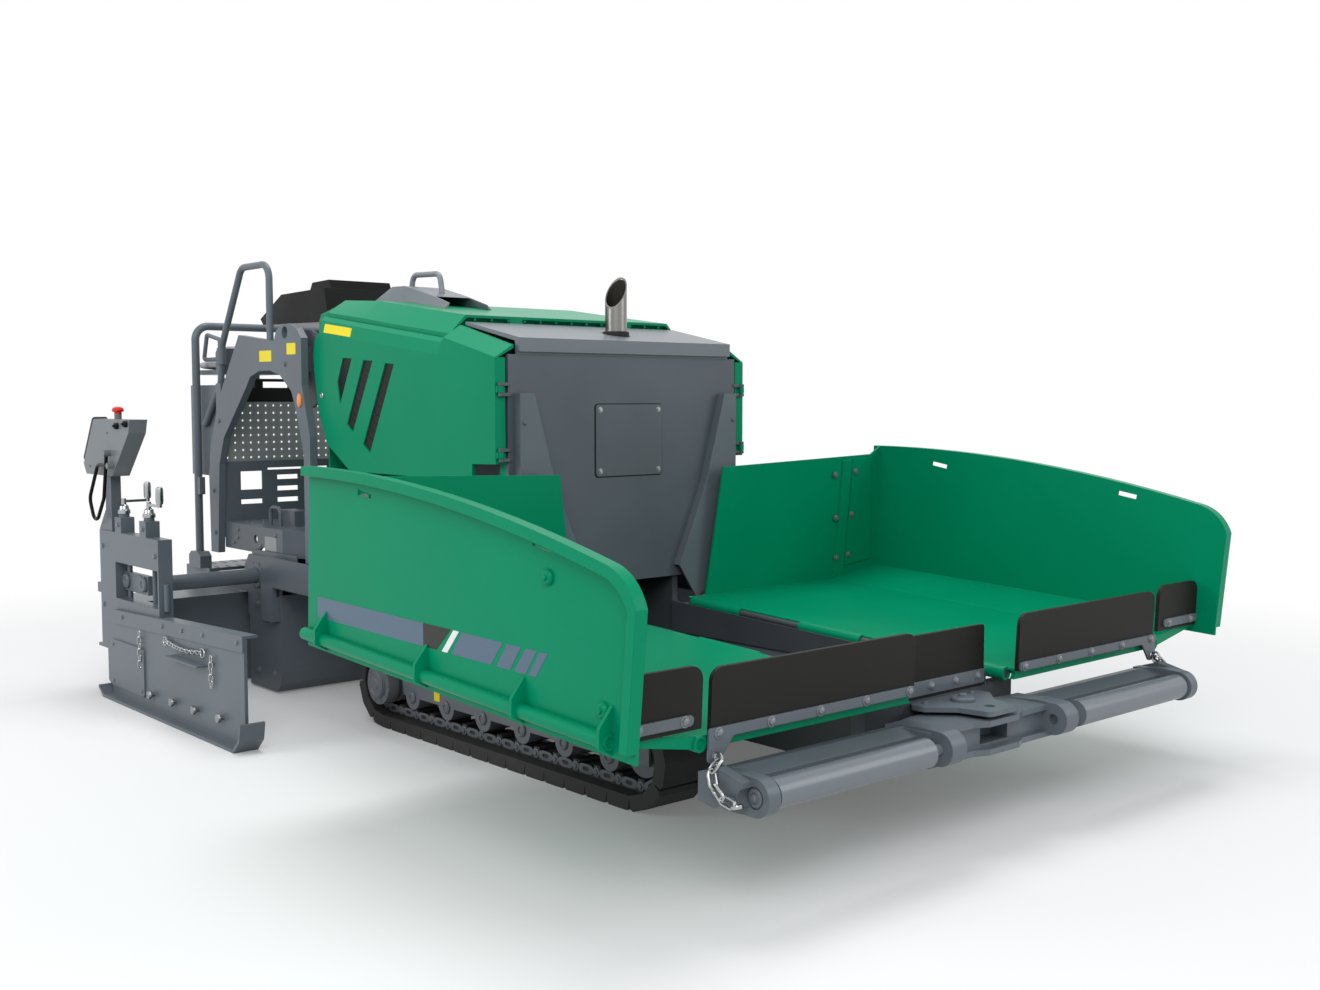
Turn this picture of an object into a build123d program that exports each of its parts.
from build123d import *
import math
import os

# A compact tracked asphalt paver, in millimetres. Z is up and the machine faces -Y, so its right side is -X.
# Lengths along the machine are measured back from the hopper's front edge, and MIDDLE shifts them on writing
# so that the whole machine is centred on the origin.
MIDDLE = 1805

# Tracks: two wheels in line, a closed loop of shoes on a chain of links.
TRACK_X = 485
SHOE_WIDTH = 180
WHEEL_FRONT_Y = 740
WHEEL_REAR_Y = 2144
WHEEL_Z = 160
SHOE_COUNT = 33
PIN_RADIUS = 95
SHOE_FOOT = 20
SHOE_THICKNESS = 45
SHOE_GAP = 5
CHAIN_WIDTH = 84
CHAIN_INNER = 20
WHEEL_RADIUS = 72
ROLLER_RADIUS = 45
ROLLER_COUNT = 6
FRAME_PLATE = 10
FRAME_HALF = 56

# Chassis: two side beams, the trough between them and the engine's bed on top.
CHASSIS_HALF = 239
CHASSIS_PLATE = 24
CHASSIS_FRONT_Y = 60
CHASSIS_BACK_Y = 2370
CHASSIS_FOOT = 180
BED_Z = 640
BED_PLATE = 12

# Hopper: two wings hinged on slanting axes beside the trough. A wing is drawn level and then tilted.
HINGE_X = 230
HINGE_Z = 408
HOPPER_TILT = 2.6
HOPPER_LENGTH = 1350
WING_OFFSET = 16
WALL_X = 1250
WALL_PLATE = 8
BEND_X = 1000
LIP = 34
HINGE_ROD_RADIUS = 12
HINGE_TUBE_RADIUS = 20
RUNNING = 0.08
HINGE_LUGS = [(262, 538), (822, 1078)]
HINGE_KNUCKLES = [(8, 250), (550, 810), (1090, 1336)]
LIP_SLOTS = [(1060, 484), (255, 446)]

# Push-roller beam on its upright pin.
PUSH_PIN_Y = -10
PUSH_PIN_RADIUS = 14
PUSH_AXIS_Y = -150
PUSH_AXIS_Z = 303
PUSH_ROLLER_RADIUS = 38
PUSH_ROLLER_PIN = 15
PUSH_ROLLER_ENDS = (338, 905)
TONGUE_TOP = 366

# Hood, its front panel and the lid.
PANEL_Y = 1420
PANEL_PLATE = 12
PANEL_HALF = 512
PANEL_TOP = 1342
PANEL_FOOT = 560
LID_HALF = 475
LID_BACK_Y = 1720
LID_LIP_Y = 1406
HOOD_BACK_Y = 2610
HOOD_SHEET = 12
DOOR_X = 560
DOOR_PIN_X = 545
DOOR_PIN_Y = 1414
DOOR_PIN_RADIUS = 5
BONNET_PIN_Y = 1735
BONNET_PIN_Z = 1450
BONNET_PIN_RADIUS = 5
EXHAUST = (50, 1550)
EXHAUST_RADIUS = 39

# Operator's platform and the arches over it.
ARCH_X = 575
ARCH_PLATE = 30
DECK_Z = 667
DECK_CORNER_Y = 2905
DECK_BACK_Y = 3440
DECK_FOOT = 557
GUARD_TOP = 1282
SEAT_TOP = 1365
CONSOLE_SIDES = (-450, 150)

# Screed: tow arms, curved front shield, frame and the two extensions.
TOW_Y = 1560
TOW_Z = 490
TOW_X = 612
TOW_PLATE = 20
TOW_PIN_RADIUS = 20
SHIELD_Y = 2880
SHIELD_BACK_Y = 3164
SCREED_HALF = 600
SCREED_FOOT = 8
SHIELD_TOP = 405
FRAME_BOX_HALF = 545
EXTENSION_Y = (3262, 3540)
EXTENSION_TOP = 380
EXTENSION_INNER = 450
WALK_Z = 440
WALK_BACK_Y = 3800
TUBE_Y = 3075
TUBE_Z = 470
TUBE_RADIUS = 31
UNIT_X = 1045
UNIT_WIDTH = 55
UNIT_Y = (2868, 3470)
UNIT_TOP = 664
SPINDLES = (3014, 3268)
RAIL_Y = 3650
RAIL_TOP = 1512
GATE_X = 1112
BOX_FOOT = 888

# Augers in front of the screed.
AUGER_Y = 2560
AUGER_Z = 290
AUGER_RADIUS = 125
AUGER_SHAFT = 26
AUGER_OUTER = 400
AUGER_LEAD = 170


def block(x0, x1, y0, y1, z0, z1):
    """A block between two corners."""
    return Pos((x0 + x1) / 2, (y0 + y1) / 2, (z0 + z1) / 2) * Box(abs(x1 - x0), abs(y1 - y0), abs(z1 - z0))


def side_plate(points, x0, x1):
    """A plate cut to an outline of (y, z) points, between two places across the machine."""
    return Pos(x0, 0, 0) * extrude(Plane.YZ * make_face(Polyline(*points, close=True)), x1 - x0)


def cross_plate(points, y0, y1):
    """A plate cut to an outline of (x, z) points, between two places along the machine."""
    return Pos(0, y0, 0) * extrude(Plane.XZ * make_face(Polyline(*points, close=True)), y0 - y1)


def flat_plate(points, z0, z1):
    """A plate cut to an outline of (x, y) points, between two heights."""
    return Pos(0, 0, z0) * extrude(Plane.XY * make_face(Polyline(*points, close=True)), z1 - z0)


def rod_x(radius, x0, x1, y, z):
    return Pos((x0 + x1) / 2, y, z) * Rot(0, 90, 0) * Cylinder(radius, abs(x1 - x0))


def rod_y(radius, x, y0, y1, z):
    return Pos(x, (y0 + y1) / 2, z) * Rot(90, 0, 0) * Cylinder(radius, abs(y1 - y0))


def rod_z(radius, x, y, z0, z1):
    return Pos(x, y, (z0 + z1) / 2) * Cylinder(radius, abs(z1 - z0))


def bent_bar(points, radius, bend):
    """A round bar along points, with one bend radius at each corner."""
    path = FilletPolyline(*points, radius=bend)
    return sweep(Plane(origin=path @ 0, z_dir=path % 0) * Circle(radius), path)


def rounded(shape, axis, radius):
    """A plate with its corners rounded, about the axis that it is thin along."""
    return fillet(shape.edges().filter_by(axis), radius)


def joined(pieces):
    whole = pieces[0]
    for piece in pieces[1:]:
        whole = whole + piece
    return whole


def mirrored(shape):
    return mirror(shape, about=Plane.YZ)


def solids(*shapes):
    """Several pieces as separate solids of one node."""
    return Compound([solid for shape in shapes for solid in shape.solids()])


def save(name, shape):
    export_step(Pos(0, -MIDDLE, 0) * shape, "parts/" + name + ".step")


def save_pair(name, shape):
    """A piece at -X and its mirror image in one node."""
    save(name, solids(shape, mirrored(shape)))


def save_sides(name, shape):
    """A piece at -X and its mirror image as two nodes."""
    save(name + "_right", shape)
    save(name + "_left", mirrored(shape))


os.makedirs("parts", exist_ok=True)

# Tracks. A place on the loop is found from the run along the pin line and the distance outside it.
STRAIGHT = WHEEL_REAR_Y - WHEEL_FRONT_Y
LOOP = 2 * STRAIGHT + 2 * math.pi * PIN_RADIUS
PITCH = LOOP / SHOE_COUNT


def on_loop(run, out):
    run = run % LOOP
    arc = math.pi * PIN_RADIUS
    reach = PIN_RADIUS + out
    if run < STRAIGHT:
        return WHEEL_FRONT_Y + run, WHEEL_Z - reach
    if run < STRAIGHT + arc:
        turn = (run - STRAIGHT) / PIN_RADIUS - math.pi / 2
        return WHEEL_REAR_Y + reach * math.cos(turn), WHEEL_Z + reach * math.sin(turn)
    if run < 2 * STRAIGHT + arc:
        return WHEEL_REAR_Y - (run - STRAIGHT - arc), WHEEL_Z + reach
    turn = (run - 2 * STRAIGHT - arc) / PIN_RADIUS + math.pi / 2
    return WHEEL_FRONT_Y + reach * math.cos(turn), WHEEL_Z + reach * math.sin(turn)


def loop_plate(outside, inside, half):
    """A flat closed loop, as wide as twice half, on the right-hand track."""
    outer = side_plate(outside, -TRACK_X - half, -TRACK_X + half)
    return outer - side_plate(inside, -TRACK_X - half - 1, -TRACK_X + half + 1)


shoe_face = SHOE_FOOT + SHOE_THICKNESS
shoe_outline, seam, link_inside = [], [], []
for i in range(SHOE_COUNT):
    start = i * PITCH
    end = start + PITCH - SHOE_GAP / 2
    shoe_outline += [on_loop(start + SHOE_GAP / 2, shoe_face - 8), on_loop(start + SHOE_GAP / 2 + 8, shoe_face),
                     on_loop(start + PITCH / 2, shoe_face), on_loop(end - 8, shoe_face), on_loop(end, shoe_face - 8),
                     on_loop(start + PITCH, SHOE_FOOT + 8)]
    seam += [on_loop(start, SHOE_FOOT), on_loop(start + PITCH / 2, SHOE_FOOT)]
    link_inside += [on_loop(start - 18, -8), on_loop(start - 14, -CHAIN_INNER),
                    on_loop(start + 14, -CHAIN_INNER), on_loop(start + 18, -8)]
save_sides("track", loop_plate(shoe_outline, seam, SHOE_WIDTH / 2))
save_pair("track_chains", loop_plate(seam, link_inside, CHAIN_WIDTH / 2))

inner_face = -TRACK_X + FRAME_HALF - FRAME_PLATE
idler = rod_x(WHEEL_RADIUS, -TRACK_X - 34, -TRACK_X + 34, WHEEL_FRONT_Y, WHEEL_Z)
idler += rod_x(26, -TRACK_X - FRAME_HALF + FRAME_PLATE, inner_face, WHEEL_FRONT_Y, WHEEL_Z)
driver = joined([rod_x(WHEEL_RADIUS, -TRACK_X - 34, -TRACK_X + 34, WHEEL_REAR_Y, WHEEL_Z),
                 rod_x(50, -TRACK_X - 60, inner_face, WHEEL_REAR_Y, WHEEL_Z),
                 rod_x(75, -TRACK_X - 102, -TRACK_X - 58, WHEEL_REAR_Y, WHEEL_Z),
                 rod_x(52, -TRACK_X - 108, -TRACK_X - 102, WHEEL_REAR_Y, WHEEL_Z)])
save_pair("track_wheels", solids(idler, driver))

ROLLER_Z = WHEEL_Z - PIN_RADIUS + CHAIN_INNER + ROLLER_RADIUS
front_of_frame = [(800, ROLLER_Z), (690, 134), (690, 186), (830, 216)]
pieces = [side_plate(front_of_frame + [(2030, 216), (2052, 180), (2040, ROLLER_Z)],
                     -TRACK_X - FRAME_HALF, -TRACK_X - FRAME_HALF + FRAME_PLATE),
          side_plate(front_of_frame + [(2100, 216), (2200, 190), (2200, ROLLER_Z)], inner_face, -TRACK_X + FRAME_HALF),
          block(-TRACK_X - FRAME_HALF, -TRACK_X + FRAME_HALF, 860, 2030, 206, 216)]
for i in range(ROLLER_COUNT):
    pieces.append(rod_x(ROLLER_RADIUS, -TRACK_X - FRAME_HALF, -TRACK_X + FRAME_HALF, 872 + i * 222, ROLLER_Z))
save_pair("track_frames", joined(pieces))

# Chassis. The side beams carry the wings' hinge rods, and the cross beams carry the track frames.
tilt = Pos(0, 0, HINGE_Z) * Rot(HOPPER_TILT, 0, 0)
hinge_rod = joined([rod_y(HINGE_ROD_RADIUS, -HINGE_X, 10, HOPPER_LENGTH - 14, 0)]
                   + [block(-HINGE_X - 9, -HINGE_X + 9, y0, y1, -70, 0) for y0, y1 in HINGE_LUGS])
BED_FOOT = BED_Z - BED_PLATE
side_beam = side_plate([(CHASSIS_FRONT_Y, CHASSIS_FOOT), (CHASSIS_FRONT_Y, 376), (1432, 438), (1432, BED_FOOT),
                        (CHASSIS_BACK_Y, BED_FOOT), (CHASSIS_BACK_Y, CHASSIS_FOOT)],
                       -CHASSIS_HALF, -CHASSIS_HALF + CHASSIS_PLATE)
side = joined([side_beam, tilt * hinge_rod,
               block(-TRACK_X + FRAME_HALF, -CHASSIS_HALF, 980, 1100, 132, 200),
               block(-TRACK_X + FRAME_HALF, -CHASSIS_HALF, 1780, 1900, 132, 200),
               rod_x(40, -TRACK_X + FRAME_HALF, -CHASSIS_HALF, WHEEL_REAR_Y, 196),
               side_plate([(CHASSIS_FRONT_Y, 360), (CHASSIS_FRONT_Y, 408), (1420, 470), (1420, 360)], -204, -200),
               block(-CHASSIS_HALF, -200, CHASSIS_FRONT_Y, 1420, 360, 372),
               block(-TOW_X + 22, -CHASSIS_HALF, TOW_Y - 45, TOW_Y + 45, 380, 420),
               block(-TOW_X + 12, -TOW_X + 22, TOW_Y - 45, TOW_Y + 45, 380, TOW_Z + 40),
               rod_x(TOW_PIN_RADIUS, -TOW_X - TOW_PLATE - 6, -TOW_X + 22, TOW_Y, TOW_Z)])
save("chassis_frame", joined([
    side, mirrored(side),
    block(-CHASSIS_HALF, CHASSIS_HALF, CHASSIS_FRONT_Y, CHASSIS_BACK_Y, CHASSIS_FOOT, CHASSIS_FOOT + 14),
    block(-330, 330, CHASSIS_FRONT_Y, CHASSIS_FRONT_Y + 50, 200, 372),
    block(-530, 530, PANEL_Y + PANEL_PLATE, HOOD_BACK_Y - 12, BED_FOOT, BED_Z)]))
nose = [(-150, CHASSIS_FRONT_Y), (-150, 8), (-84, -56), (-66, -150), (66, -150), (84, -56), (150, 8), (150, CHASSIS_FRONT_Y)]
tongue = joined([rounded(flat_plate(nose, TONGUE_TOP - 14, TONGUE_TOP), Axis.Z, 18),
                 rounded(flat_plate([(x, max(y, -70)) for x, y in nose], 228, 240), Axis.Z, 12),
                 rod_z(PUSH_PIN_RADIUS, 0, PUSH_PIN_Y, 222, TONGUE_TOP + 8)])
save("push_tongue", tongue - rod_z(15, 0, -99, 300, 400))

# Conveyor trough: sloping sides, and the slats on two chains that carry the asphalt to the rear.
TROUGH_HALF = CHASSIS_HALF - CHASSIS_PLATE
save_pair("conveyor_trough", cross_plate(
    [(-TROUGH_HALF, 360), (-TROUGH_HALF, 300), (-158, 226), (-150, 232), (-TROUGH_HALF + 14, 310), (-TROUGH_HALF + 6, 360)],
    CHASSIS_FRONT_Y + 50, CHASSIS_BACK_Y))
SLAT_Z = CHASSIS_FOOT + 28
save("conveyor_chain", joined(
    [block(x - 9, x + 9, 130, CHASSIS_BACK_Y - 20, CHASSIS_FOOT + 14, SLAT_Z) for x in (-110, 110)]
    + [block(-146, 146, 150 + 110 * i, 176 + 110 * i, SLAT_Z, SLAT_Z + 10) for i in range(20)]))

# The engine is one plain block on its bed, behind the front panel.
ENGINE_TOP = 1240
save("engine_block", block(-330, 330, 1470, 2200, BED_Z, ENGINE_TOP))


def wing(rear_y):
    """One wing, level and at -X, its heights counted from the hinge's axis."""
    floor = cross_plate([(-HINGE_X, 9), (-BEND_X, 12), (-WALL_X, 48), (-WALL_X, 56), (-BEND_X, 20), (-HINGE_X, 17)],
                        0, rear_y)
    outside = Plane.YZ * make_face([
        Polyline((rear_y + 26, 536), (rear_y + 26, 40), (-94, 40), (-102, 200), (-110, 355)),
        ThreePointArc((-110, 355), (-77, 404), (-7, 440)), ThreePointArc((-7, 440), (620, 524), (rear_y + 26, 536))])
    inside = Plane.YZ * make_face([
        Polyline((rear_y + 40, 508), (rear_y + 40, 20), (-66, 20), (-74, 200), (-82, 346)),
        ThreePointArc((-82, 346), (-60, 378), (0, 412)), ThreePointArc((0, 412), (620, 496), (rear_y + 40, 508))])
    wall = Pos(-WALL_X - WALL_PLATE, 0, 0) * extrude(outside, WALL_PLATE)
    lip = Pos(-WALL_X - LIP, 0, 0) * extrude(outside, LIP) - Pos(-WALL_X - LIP - 1, 0, 0) * extrude(inside, LIP + 2)
    rear = cross_plate([(-310, 14), (-378, 480), (-1195, 505), (-WALL_X, 536), (-WALL_X, 50), (-BEND_X, 14)],
                       rear_y - WALL_PLATE, rear_y)
    rear += cross_plate([(-BEND_X + 8, 18), (-BEND_X - 24, 484), (-BEND_X - 74, 486), (-BEND_X - 50, 26)],
                        rear_y - WALL_PLATE - 7, rear_y - WALL_PLATE)
    rear += cross_plate([(-BEND_X - 58, 66), (-BEND_X - 86, 490), (-1195, 494), (-1215, 84)],
                        rear_y - WALL_PLATE - 4, rear_y - WALL_PLATE)
    front = cross_plate([(-HINGE_X - 6, -14), (-BEND_X, -12), (-WALL_X, 34), (-WALL_X, 56), (-BEND_X, 20),
                         (-HINGE_X - 6, 17)], -14, 0)
    edge_tube = rod_y(18, -WALL_X - 18, -20, rear_y + 26, 50) - rod_y(12, -WALL_X - 18, -21, 60, 50)
    bend_tube = rod_y(20, -BEND_X, -20, rear_y, 2) - rod_y(13, -BEND_X, -21, 60, 2)
    skirt = block(-WALL_X - WALL_PLATE, -WALL_X, -94, rear_y + 26, 14, 44)
    gussets = [cross_plate([(-WALL_X, 130), (-WALL_X - 10, 130), (-WALL_X - 46, 82), (-WALL_X - 46, 38), (-WALL_X, 14)],
                           y, y + 10) for y in (-15, 309, 732, 1263)]
    knuckles = [rod_y(HINGE_TUBE_RADIUS, -HINGE_X, y0, y1, 0) + block(-HINGE_X - 60, -HINGE_X - 4, y0, y1, -2, 10)
                for y0, y1 in HINGE_KNUCKLES]
    whole = joined([floor, wall, lip, rear, front, edge_tube, bend_tube, skirt] + gussets + knuckles)
    for y, z in LIP_SLOTS:
        whole -= Pos(-WALL_X - LIP / 2, y, z) * Rot(7, 0, 0) * Box(LIP + 60, 72, 16)
    return whole - rod_y(HINGE_ROD_RADIUS + RUNNING, -HINGE_X, -20, rear_y + 30, 0)


save("hopper_wing_right", tilt * wing(HOPPER_LENGTH))
save("hopper_wing_left", tilt * mirrored(wing(HOPPER_LENGTH + WING_OFFSET)))

# Rubber flaps along the wings' front edges, clamped by steel strips that also hold the chains.


def flap(x0, x1, z0, z1):
    """A rubber sheet with well rounded upper corners."""
    sheet = block(x0, x1, -26, -14, z0, z1)
    return fillet(sheet.edges().filter_by(Axis.Y).group_by(Axis.Z)[-1], 34)


save_sides("hopper_flaps", tilt * solids(flap(-975, -236, 12, 178), flap(-1244, -1004, 42, 190)))
long_strip = cross_plate([(-985, 38), (-985, -44), (-950, -44), (-905, 12), (-240, 12), (-240, 38)], -32, -26)
short_strip = rounded(block(-1244, -1034, -32, -26, 54, 80), Axis.Y, 12)
save_sides("flap_strips", tilt * solids(rounded(long_strip, Axis.Y, 10) - rod_y(8, -967, -40, 0, -26), short_strip))
save("middle_flap", rounded(block(-196, 196, CHASSIS_FRONT_Y + 2, CHASSIS_FRONT_Y + 14, 372, 550), Axis.Y, 10))

# The push beam is a forging that swivels on the tongue's pin: two flanges over a set-back web in the middle, a bar
# behind each roller, and four arms with round bosses that carry the rollers' pins.
BEAM_END = 985
BOSS_END = 954
BOSS_RADIUS = 45
FLANGES = [(250, 266), (326, 342)]
flange_plan = [(0, -150), (-66, -150), (-112, -130), (-300, -130), (-300, 4), (-180, 28), (0, 28)]


def beam_arm(x0, x1):
    """A boss round the rollers' axis on a tapered arm that reaches back to the bar."""
    arm = side_plate([(PUSH_AXIS_Y, PUSH_AXIS_Z - BOSS_RADIUS), (-60, 256), (4, 268), (4, 342), (-95, 350),
                      (PUSH_AXIS_Y, PUSH_AXIS_Z + BOSS_RADIUS)], x0, x1)
    return arm + rod_x(BOSS_RADIUS, x0, x1, PUSH_AXIS_Y, PUSH_AXIS_Z)


half_beam = joined([side_plate([(-90, 286), (-90, 330), (-34, 344), (4, 338), (4, 274), (-50, 264)], -BEAM_END, -240),
                    side_plate([(-140, 282), (-58, 272), (4, 272), (4, 340), (-58, 360), (-140, 340)], -BEAM_END, -BOSS_END),
                    beam_arm(-BOSS_END, -915), beam_arm(-288, -228),
                    block(-300, 0, -114, 16, FLANGES[0][0], FLANGES[1][1])]
                   + [flat_plate(flange_plan, z0, z1) for z0, z1 in FLANGES])
half_beam -= rod_x(26, -BEAM_END - 1, -BOSS_END + 4, PUSH_AXIS_Y, PUSH_AXIS_Z)
beam = half_beam + mirrored(half_beam)
beam -= rod_z(PUSH_PIN_RADIUS + RUNNING, 0, PUSH_PIN_Y, 200, 400)
beam -= block(-62, 62, -200, -60, 272, 318)
beam -= rod_x(PUSH_ROLLER_PIN + RUNNING, -BOSS_END + 16, BOSS_END - 16, PUSH_AXIS_Y, PUSH_AXIS_Z)
save("push_beam", beam)
near, far = PUSH_ROLLER_ENDS
save_sides("push_roller", rod_x(PUSH_ROLLER_RADIUS, -far, -near, PUSH_AXIS_Y, PUSH_AXIS_Z)
           + rod_x(PUSH_ROLLER_PIN, -BOSS_END + 18, -near + 90, PUSH_AXIS_Y, PUSH_AXIS_Z))

# Front panel with its access plate and the doors' hinge pins, the two deflectors, the lid and the exhaust.
HINGE_HEIGHTS = [(992, 1036), (1205, 1250)]
door_pins = []
for z0, z1 in HINGE_HEIGHTS:
    door_pins.append(rod_z(DOOR_PIN_RADIUS, -DOOR_PIN_X, DOOR_PIN_Y, z0, z1))
    for foot in (z0, z1 - 11):
        door_pins.append(block(-DOOR_PIN_X, -PANEL_HALF + 6, DOOR_PIN_Y + 1, PANEL_Y + 3, foot, foot + 11))
        door_pins.append(rod_z(DOOR_PIN_RADIUS + 4, -DOOR_PIN_X, DOOR_PIN_Y, foot, foot + 11))
panel = block(-PANEL_HALF, PANEL_HALF, PANEL_Y, PANEL_Y + PANEL_PLATE, PANEL_FOOT, PANEL_TOP)
panel += rounded(block(-150, 150, PANEL_Y - 5, PANEL_Y, 930, 1177), Axis.Y, 12)
save("front_panel", joined([panel] + door_pins + [mirrored(piece) for piece in door_pins]))
inner_edge = [(-430, 1215), (-340, 896), (-210, 600)]
deflector = cross_plate([(-488, 1215)] + inner_edge + [(-290, 480), (-488, 560)], 1386, 1394)
deflector += cross_plate(inner_edge + [(x - 12, z) for x, z in reversed(inner_edge)], 1394, PANEL_Y)
deflector += cross_plate([(-488, 1215), (-488, 560), (-478, 560), (-478, 1215)], 1394, PANEL_Y)
save_pair("deflectors", deflector)
lid = side_plate([(LID_LIP_Y, 1350), (LID_LIP_Y, 1396), (LID_BACK_Y, 1459), (LID_BACK_Y, 1447), (PANEL_Y, 1384), (PANEL_Y, 1350)],
                 -LID_HALF, LID_HALF)
lid += block(-LID_HALF, LID_HALF, PANEL_Y, PANEL_Y + PANEL_PLATE, PANEL_TOP, 1386)
save("hood_lid", lid - rod_z(EXHAUST_RADIUS + 12, *EXHAUST, 1300, 1500))
exhaust = rod_z(EXHAUST_RADIUS, *EXHAUST, ENGINE_TOP, 1632) - rod_z(EXHAUST_RADIUS - 4, *EXHAUST, ENGINE_TOP + 20, 1700)
save("exhaust_pipe", exhaust - Pos(*EXHAUST, 1572) * Rot(0, 0, 22) * Rot(0, -56, 0) * Pos(0, 0, 100) * Box(400, 300, 200))

# Hood frame: rails, posts, the wall behind the engine and the brackets with the bonnet's hinge pins.
side = joined([
    block(-PANEL_HALF, -LID_HALF + 5, PANEL_Y + PANEL_PLATE, HOOD_BACK_Y, 1290, 1326),
    block(-PANEL_HALF, -PANEL_HALF + 22, PANEL_Y + PANEL_PLATE, PANEL_Y + 50, BED_Z, 1320),
    block(-300, -280, LID_BACK_Y - 30, BONNET_PIN_Y + 4, 1400, 1434),
    block(-300, -280, LID_BACK_Y + 6, BONNET_PIN_Y + 4, 1430, BONNET_PIN_Z + 4),
    rod_x(BONNET_PIN_RADIUS, -300, -220, BONNET_PIN_Y, BONNET_PIN_Z)])
save("hood_frame", joined([side, mirrored(side),
                           block(-522, 522, HOOD_BACK_Y - 12, HOOD_BACK_Y, BED_Z, 1470),
                           block(-480, 480, LID_BACK_Y - 30, LID_BACK_Y - 18, 1290, 1438)]))

# Side doors: a flat skin with three slanting vents, and above it a bevel that runs the length of the hood in two
# steps. The bevels' sections are (y, height where the bevel starts, heights of its top and of its inner edge above).
DOOR_EDGE = [(DOOR_PIN_Y + 10, 985), (1560, 981), (1560, 925), (2350, 925), (2385, 931), (2546, 1021), (2612, 1150), (2637, 1273),
             (2649, 1356), (2632, 1424), (2600, 1446), (1753, 1345), (1738, 1394), (1706, 1399), (DOOR_PIN_Y + 10, 1331)]
VENTS = [[(2417, 1348), (2350, 1345), (2443, 1174), (2461, 1259)], [(2265, 1337), (2198, 1334), (2349, 1072), (2392, 1101)],
         [(2110, 1323), (2049, 1320), (2225, 998), (2274, 1028)]]


def bevel(sections, x_top, x_inner):
    """A sheet that leans in from the door's skin to a narrow ledge, lofted between two sections."""
    faces = [Plane.XZ.offset(-y) * make_face(Polyline(
        (-DOOR_X, z - 14), (-DOOR_X, z), (x_top, z + top), (x_inner, z + ledge), (x_inner, z + ledge - 10),
        (x_top + 6, z + top - 10), (-DOOR_X + 10, z - 2), (-DOOR_X + 10, z - 14), close=True)) for y, z, top, ledge in sections]
    return loft(faces, ruled=True)


door = side_plate(DOOR_EDGE, -DOOR_X, -DOOR_X + HOOD_SHEET)
door += block(-DOOR_X, -PANEL_HALF - 8, DOOR_PIN_Y + 10, DOOR_PIN_Y + 15, 985, 1331)
door += bevel([(1744, 1344, 42, 58), (2600, 1446, 50, 66)], -549, -533)
door += bevel([(DOOR_PIN_Y + 10, 1331, 40, 42), (1728, 1403, 43, 45)], -494, -485)
for outline in VENTS:
    door -= side_plate(outline, -DOOR_X - 1, -DOOR_X + 6)
for z0, z1 in HINGE_HEIGHTS:
    door += rod_z(DOOR_PIN_RADIUS + 4, -DOOR_PIN_X, DOOR_PIN_Y, z0 + 12, z1 - 12)
    door += block(-DOOR_X + 2, -DOOR_PIN_X, DOOR_PIN_Y, DOOR_PIN_Y + 15, z0 + 12, z1 - 12)
save_sides("side_door", door - rod_z(DOOR_PIN_RADIUS + RUNNING, -DOOR_PIN_X, DOOR_PIN_Y, 900, 1400))

# Bonnet: a shell whose flanks lean in from the seam to a flat top, open as a grille along its front edge. Its
# sections are (y, half width at the seam, height of the seam, half width of the top, height of the top).
BONNET_SECTIONS = [(1740, 525, 1408, 460, 1484), (2040, 525, 1445, 458, 1522), (2330, 525, 1484, 450, 1561),
                   (2590, 525, 1516, 450, 1576), (2655, 520, 1512, 440, 1562), (2700, 505, 1486, 425, 1516)]


def bonnet_body(thinner, back):
    faces = []
    for y, x_low, low, x_high, high in BONNET_SECTIONS:
        x_low, x_high, y = x_low - thinner, x_high - thinner / 2, min(y, y - back * (y > 2600))
        faces.append(Plane.XZ.offset(-y) * make_face(Polyline(
            (-x_low, low - 24), (-x_low, low + 10), (-x_high, high - thinner), (x_high, high - thinner), (x_low, low + 10),
            (x_low, low - 24), close=True)))
    return loft(faces, ruled=True)


bonnet = bonnet_body(0, 0) - Pos(0, 0, -0.01) * bonnet_body(10, 10)
for x in (-1, 1):
    bonnet += block(x * 276, x * 222, BONNET_PIN_Y + 4, 1800, BONNET_PIN_Z - 8, 1480) + rod_x(9, x * 276, x * 222, BONNET_PIN_Y, BONNET_PIN_Z)
    bonnet -= rod_x(BONNET_PIN_RADIUS + RUNNING, x * 302, x * 218, BONNET_PIN_Y, BONNET_PIN_Z)
bonnet += side_plate([(1750, 1476), (1758, 1478), (1792, 1432), (1784, 1428)], -456, 456)
for x in range(-420, 421, 70):
    bonnet += block(x - 4, x + 4, 1742, 1770, 1464, 1480)
save("bonnet", bonnet)
intake = loft([Plane.XZ.offset(-y) * make_face(Polyline((-345, 1500), (-300, top), (-130, top), (-85, 1500), close=True))
               for y, top in ((2090, 1548), (2215, 1584), (2400, 1628), (2490, 1630), (2625, 1582))], ruled=True)
mouth = loft([Plane.XZ.offset(-y) * make_face(Polyline((-322, 1490), (-290, top), (-140, top), (-108, 1490), close=True))
              for y, top in ((2080, 1560), (2390, 1608))], ruled=True)
save("air_intake", intake - mouth - bonnet_body(0, 0))
handle = bent_bar([(-205, 2275, 1560), (-205, 2300, 1674), (-205, 2490, 1680), (-205, 2520, 1560)], 11, 34)
save("bonnet_handle", handle - intake)

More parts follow.
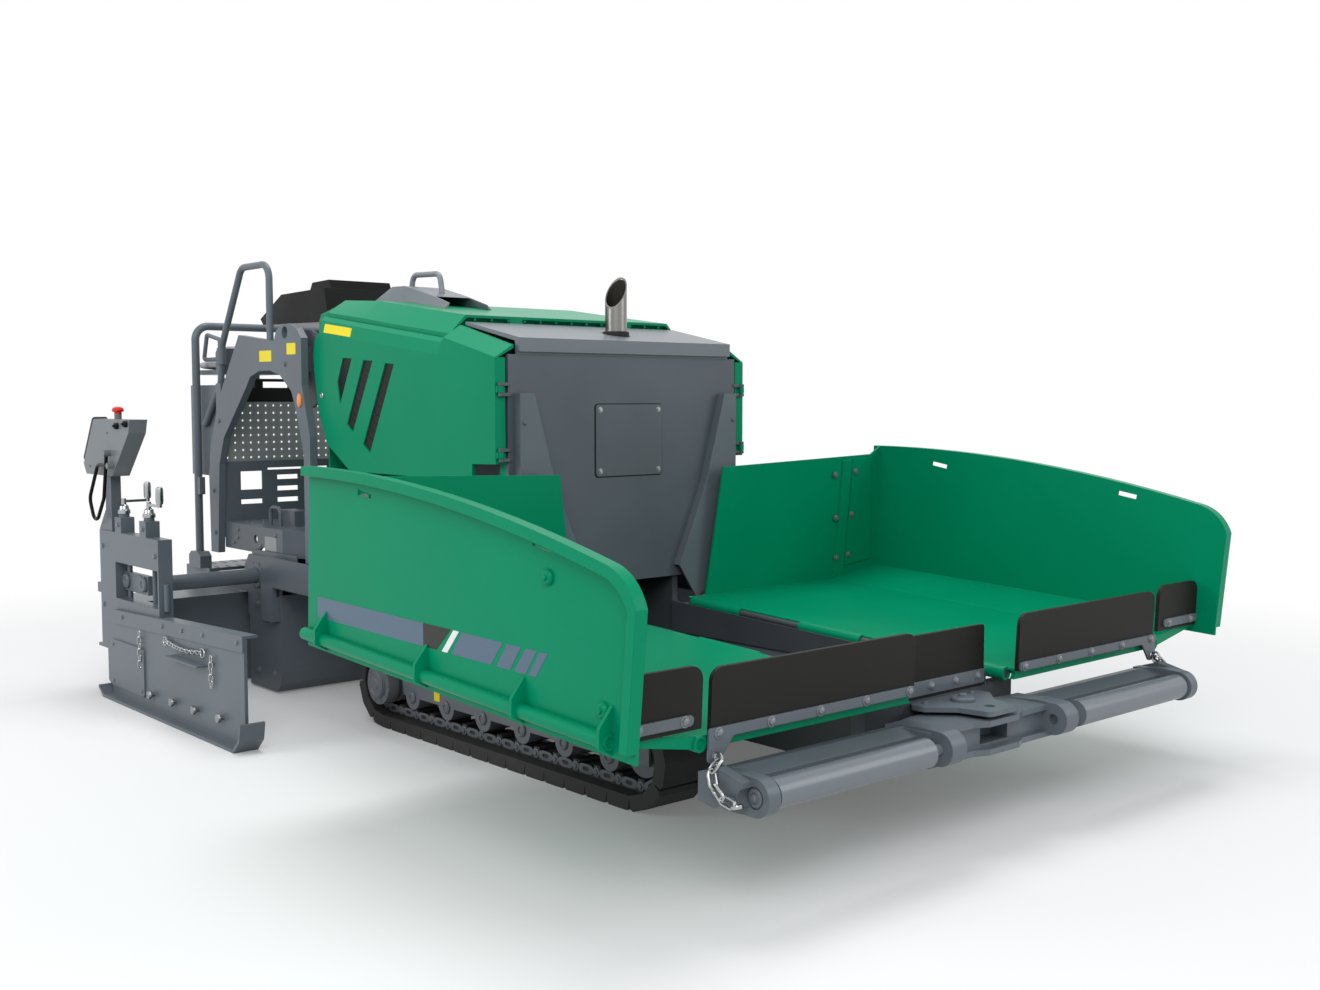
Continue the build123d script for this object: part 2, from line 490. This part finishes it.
# Arches beside the platform: flat plates with a lifting eye, and the bent grab rail on the right-hand one.
arch = side_plate([(3208, 1458), (2890, 1424), (2868, 1466), (2817, 1486), (2763, 1489), (2702, 1470), (2660, 1430),
                   (2660, 1250), (2600, 1050), (2600, DECK_FOOT), (2653, DECK_FOOT), (2653, 986), (2716, 1163), (2748, 1226), (2845, 1290), (2934, 1309),
                   (3025, 1307), (3106, 1285), (3149, 1239), (3370, 1029), (3419, 915), (3447, 534), (3519, 534),
                   (3526, 860), (3503, 1001), (3405, 1203)], -ARCH_X - ARCH_PLATE, -ARCH_X)
arch -= rod_x(24, -700, -500, 2795, 1455)
arch += side_plate([(2626, 1190), (2626, 1436), (2700, 1464), (2770, 1464), (2770, 1250), (2700, 1160)], -542, -531)
arch += block(-ARCH_X, -531, 2700, 2760, 1300, 1400)
arch += block(-ARCH_X - ARCH_PLATE, -ARCH_X, 3392, 3440, 1130, 1260)
rail_x = -ARCH_X - ARCH_PLATE / 2
grab_rail = bent_bar([(rail_x, 2950, 1400), (rail_x, 2950, 1734), (rail_x, 3200, 1734), (rail_x, 3400, 1420),
                  (rail_x, 3420, 1260), (rail_x, 3590, 1080)], 14, 60)
grab_rail += rod_z(20, rail_x, 3407, 1340, 1410)
save("arches", solids(arch + grab_rail, mirrored(arch)))

# Platform between the arches, the guard panel behind it, the frame and shells of the seats, and the console.
plan = [(-ARCH_X, DECK_BACK_Y), (-ARCH_X, DECK_CORNER_Y), (-505, 2690)]
side = flat_plate(plan + [(-493, 2690), (-563, DECK_CORNER_Y + 2), (-563, DECK_BACK_Y)], DECK_FOOT, DECK_Z)
side -= rod_x(64, -600, -550, TUBE_Y, TUBE_Z + 50) + rod_x(17, -600, -550, 3148, 613)
deck = flat_plate(plan + [(x * -1, y) for x, y in reversed(plan)], DECK_Z - 12, DECK_Z)
deck_box = block(-470, -400, 3005, 3150, DECK_Z, DECK_Z + 64)
step_bar = bent_bar([(-505, 3060, DECK_Z - 6), (-505, 3060, DECK_Z + 76), (-505, 3150, DECK_Z + 76), (-505, 3150, DECK_Z - 6)], 8, 24)
save("platform", joined([deck, side, mirrored(side), deck_box, step_bar,
                         block(-ARCH_X, ARCH_X, HOOD_BACK_Y + 5, 2650, 600, DECK_Z),
                         block(-500, 500, HOOD_BACK_Y, 2695, DECK_Z - 12, DECK_Z),
                         block(-520, 520, HOOD_BACK_Y, HOOD_BACK_Y + 12, 600, DECK_Z)]))
guard = block(-ARCH_X, ARCH_X, DECK_BACK_Y, DECK_BACK_Y + 8, DECK_FOOT + 43, GUARD_TOP)
GUARD_SLOTS = [(-450, 840, 100, 80), (-450, 748, 100, 20), (-280, 750, 100, 20), (-280, 800, 100, 20), (-280, 850, 100, 20),
               (-140, 750, 100, 20), (-140, 800, 100, 20), (-140, 850, 100, 20), (-230, 888, 290, 9), (-480, 1256, 118, 26),
               (-330, 1256, 118, 26), (-180, 1256, 118, 26)]
for x, z, wide, high in GUARD_SLOTS:
    slot = rounded(Pos(x, DECK_BACK_Y + 4, z) * Box(wide, 20, high), Axis.Y, min(high / 2 - 1, 9))
    guard -= slot + mirrored(slot)
save("guard_panel", guard)
PANEL_BACK_Y = DECK_BACK_Y + 328
SEAT_FRONT_Y = DECK_BACK_Y + 18
seat_frame = joined([block(-ARCH_X, -ARCH_X + 12, DECK_BACK_Y + 8, PANEL_BACK_Y, 860, 1254),
                     block(-ARCH_X + 12, -250, DECK_BACK_Y + 8, SEAT_FRONT_Y + 130, 1190, 1202),
                     block(-460, -400, DECK_BACK_Y + 8, SEAT_FRONT_Y + 100, 1202, 1300),
                     rounded(block(-568, -272, SEAT_FRONT_Y, PANEL_BACK_Y + 6, 1300, SEAT_TOP - 45), Axis.Z, 30),
                     rounded(block(-568, -272, SEAT_FRONT_Y, SEAT_FRONT_Y + 60, 1300, SEAT_TOP + 45), Axis.Y, 20),
                     bent_bar([(-556, SEAT_FRONT_Y + 34, SEAT_TOP - 12), (-567, SEAT_FRONT_Y + 50, SEAT_TOP),
                               (-567, SEAT_FRONT_Y + 180, SEAT_TOP), (-567, SEAT_FRONT_Y + 146, SEAT_TOP + 108),
                               (-567, SEAT_FRONT_Y + 16, SEAT_TOP + 84), (-567, SEAT_FRONT_Y + 16, SEAT_TOP + 30)], 9, 12)])
save_pair("seat_frames", seat_frame)
cushion = rounded(block(-556, -278, SEAT_FRONT_Y + 92, PANEL_BACK_Y, SEAT_TOP - 45, SEAT_TOP), Axis.Z, 28)
back_pad = rounded(block(-556, -278, SEAT_FRONT_Y + 60, SEAT_FRONT_Y + 90, SEAT_TOP - 45, SEAT_TOP + 60), Axis.Y, 24)
save_pair("seats", solids(cushion, back_pad))
console = side_plate([(2740, 1500), (2734, 1536), (2760, 1635), (3129, 1627), (3325, 1534), (3300, 1508)], *CONSOLE_SIDES)
console += side_plate([(2826, 1630), (2850, 1676), (2990, 1672), (3020, 1628)], -380, -100)
save("console", console + block(-220, -80, 2760, 2880, DECK_Z, 1520))

# Augers: a spiral flight of cast blades on each half shaft, hung from the bed by a middle bearing. Each blade turns
# BLADE_STEP degrees between two sections.
BLADE_STEP = 22.5
blade_places = range(round((AUGER_OUTER - 75) / AUGER_LEAD * 360 / BLADE_STEP) + 1)
blade = []
for i in blade_places:
    turn = math.radians(i * BLADE_STEP)
    place = Plane(origin=(-AUGER_OUTER + 8 + i * AUGER_LEAD * BLADE_STEP / 360, AUGER_Y, AUGER_Z),
                  x_dir=(0, math.cos(turn), math.sin(turn)), z_dir=(0, math.sin(turn), -math.cos(turn)))
    blade.append(place * Pos((AUGER_RADIUS + AUGER_SHAFT) / 2 - 2, 0, 0) * Rectangle(AUGER_RADIUS - AUGER_SHAFT + 4, 8))
auger = rod_x(AUGER_SHAFT, -AUGER_OUTER, -12, AUGER_Y, AUGER_Z) + loft(blade, ruled=True)
save_sides("auger", auger)
hanger = rod_x(46, -44, 44, AUGER_Y, AUGER_Z) + block(-30, 30, AUGER_Y - 46, AUGER_Y + 46, AUGER_Z, BED_FOOT)
save("auger_hanger", hanger - rod_x(AUGER_SHAFT + RUNNING, -50, 50, AUGER_Y, AUGER_Z))

# Screed. Tow arms hinge on the chassis pins and end on the curved shield's sides.
arm = side_plate([(1512, 460), (1530, 540), (1600, 545), (2990, 560), (2990, 300), (2890, 300), (2890, 440), (1590, 434)],
                 -TOW_X - TOW_PLATE, -TOW_X)
arm += block(-TOW_X, -SCREED_HALF, 2890, 2990, 300, 400)
save_pair("tow_arms", arm - rod_x(TOW_PIN_RADIUS + RUNNING, -700, -500, TOW_Y, TOW_Z))
outline = [(SHIELD_Y, SHIELD_TOP), (SHIELD_Y, 90), (SHIELD_Y + 12, 40), (SHIELD_Y + 44, SCREED_FOOT),
           (SHIELD_BACK_Y, SCREED_FOOT), (SHIELD_BACK_Y, SHIELD_TOP)]
shield = side_plate(outline, -SCREED_HALF, SCREED_HALF)
shield -= block(-SCREED_HALF + 12, SCREED_HALF - 12, SHIELD_Y + 12, SHIELD_BACK_Y - 12, 60, SHIELD_TOP + 1)
save("screed_shield", shield)
box = block(-FRAME_BOX_HALF, FRAME_BOX_HALF, SHIELD_Y + 4, 3206, SHIELD_TOP, 525)
box -= block(-FRAME_BOX_HALF + 12, FRAME_BOX_HALF - 12, SHIELD_Y + 16, 3194, SHIELD_TOP + 12, 530)
for x in (-1, 1):
    box += side_plate([(2884, SHIELD_TOP), (2884, 552), (3164, 552), (3206, 500), (3206, SHIELD_TOP)], x * 600, x * 588)
    box += rod_x(44, x * 600, x * 520, TUBE_Y, TUBE_Z)
    box -= rod_x(TUBE_RADIUS + RUNNING, x * 601, x * 519, TUBE_Y, TUBE_Z)
beams = [block(x - 20, x + 20, SHIELD_BACK_Y, WALK_BACK_Y, EXTENSION_TOP + 12, WALK_Z) for x in (-580, 0, 580)]
save("screed_frame", joined([box] + beams + [block(-SCREED_HALF, SCREED_HALF, SHIELD_BACK_Y, SHIELD_BACK_Y + 12, 300, WALK_Z)]))
save("walkway", block(-SCREED_HALF, SCREED_HALF, 3556, WALK_BACK_Y, WALK_Z, WALK_Z + 14))
rail = bent_bar([(-600, RAIL_Y, WALK_Z + 14), (-600, RAIL_Y, RAIL_TOP), (600, RAIL_Y, RAIL_TOP), (600, RAIL_Y, WALK_Z + 14)], 17, 60)
for x in (-1, 1):
    foot = side_plate([(RAIL_Y - 60, WALK_Z + 14), (RAIL_Y - 60, WALK_Z + 66), (RAIL_Y - 36, WALK_Z + 84), (RAIL_Y + 36, WALK_Z + 84),
                       (RAIL_Y + 60, WALK_Z + 66), (RAIL_Y + 60, WALK_Z + 14)], x * 600 - 26, x * 600 + 26)
    rail += foot + block(x * 600 - 12, x * 600 + 12, RAIL_Y - 42, RAIL_Y, 776, 852)
save("rear_rail", rail)

# Extensions: a body behind the main plate, a tube in the frame's guide, and the end unit with its gate.
body = block(-UNIT_X, -EXTENSION_INNER, *EXTENSION_Y, SCREED_FOOT, EXTENSION_TOP)
tube = rod_x(TUBE_RADIUS, -UNIT_X, -EXTENSION_INNER, TUBE_Y, TUBE_Z)
unit = block(-UNIT_X - UNIT_WIDTH, -UNIT_X, *UNIT_Y, 194, UNIT_TOP)
unit -= block(-UNIT_X - UNIT_WIDTH - 1, -UNIT_X + 1, UNIT_Y[0] + 12, 3304, 400, 545)
unit += block(-UNIT_X - 20, -UNIT_X, 3060, 3310, 430, 505) + rod_x(34, -UNIT_X - 22, -UNIT_X, 3142, 470)
spindle_x = -UNIT_X - 28
for y in SPINDLES:
    unit += rod_z(10, -UNIT_X - 10, y, 400, 545)
    unit += block(-UNIT_X - UNIT_WIDTH, -UNIT_X, y - 32, y + 32, UNIT_TOP, 726) + rod_z(20, spindle_x, y, 726, 742)
unit += side_plate([(3349, UNIT_TOP), (3488, UNIT_TOP), (3412, 750), (3400, BOX_FOOT), (3350, BOX_FOOT)], -UNIT_X - 48, -UNIT_X - 8)
unit += block(-UNIT_X - 36, -UNIT_X - 20, UNIT_Y[1], 3560, 398, 438)
unit += block(-UNIT_X - UNIT_WIDTH, -UNIT_X, UNIT_Y[1] - 160, 3510, 182, 194)
unit += rod_z(11, spindle_x, UNIT_Y[0] - 9, 392, 495)
save_sides("extension", joined([body, tube, unit]))
gate = side_plate([(2120, 40), (2120, 395), (3290, 356), (3376, 300), (3376, 60), (3330, 40)], -GATE_X, -GATE_X + 12)
gate += side_plate([(2118, 397), (3290, 356), (3290, 300), (2118, 340)], -GATE_X - 6, -GATE_X)
gate += side_plate([(2118, 397), (3290, 356), (3290, 346), (2118, 387)], -GATE_X, -GATE_X + 50)
gate += side_plate([(2072, 104), (2084, 44), (2130, 0), (3330, 0), (3384, 34), (3378, 44), (3326, 12), (2136, 12), (2096, 50),
                    (2084, 106)], -GATE_X - 40, -GATE_X + 50)
gate += side_plate([(2120, 12), (3330, 12), (3330, 42), (2120, 42)], -GATE_X, -GATE_X + 12)
gate += rounded(block(-GATE_X - 7, -GATE_X, 2986, 3323, 48, 236), Axis.X, 16)
gate += block(-GATE_X - 42, -GATE_X, 2413, 2700, 250, 256)
gate -= block(-UNIT_X - UNIT_WIDTH, -UNIT_X + 5, UNIT_Y[0] - 23, UNIT_Y[1], 182, UNIT_TOP)
save_sides("end_gate", gate)
cranks = []
for y, (dx, dy) in zip(SPINDLES, ((0, -106), (95, 0))):
    arm = block(spindle_x - 6, spindle_x + dx + 6, y + 6, y + dy - 6, 784, 794)
    cranks.append(joined([rod_z(9, spindle_x, y, 742, 800), arm, rod_z(9, spindle_x + dx, y + dy, 784, 852)]))
save_sides("cranks", solids(*cranks))

# Control boxes on their masts, with a stop button on top and two plugs on the right-hand one for its looped cable.
case = side_plate([(3478, 1114), (3089, 1115), (3107, 1061), (3286, BOX_FOOT), (3571, BOX_FOOT), (3602, 930)],
                  -UNIT_X - 65, -UNIT_X + 4)
case += rod_z(14, spindle_x, 3307, 1100, 1148)
cable_x = -UNIT_X - 80
plugs = [rod_x(12, cable_x - 12, -UNIT_X - 64, y, z) for y, z in ((3304, 980), (3269, 931))]
save("control_box_right", joined([case] + plugs))
save("control_box_left", mirrored(case))
save("control_cable", bent_bar([(cable_x, 3304, 967), (cable_x, 3340, 800), (cable_x, 3440, 678), (cable_x, 3500, 790),
                                (cable_x, 3400, 931), (cable_x, 3281, 931)], 7, 40))
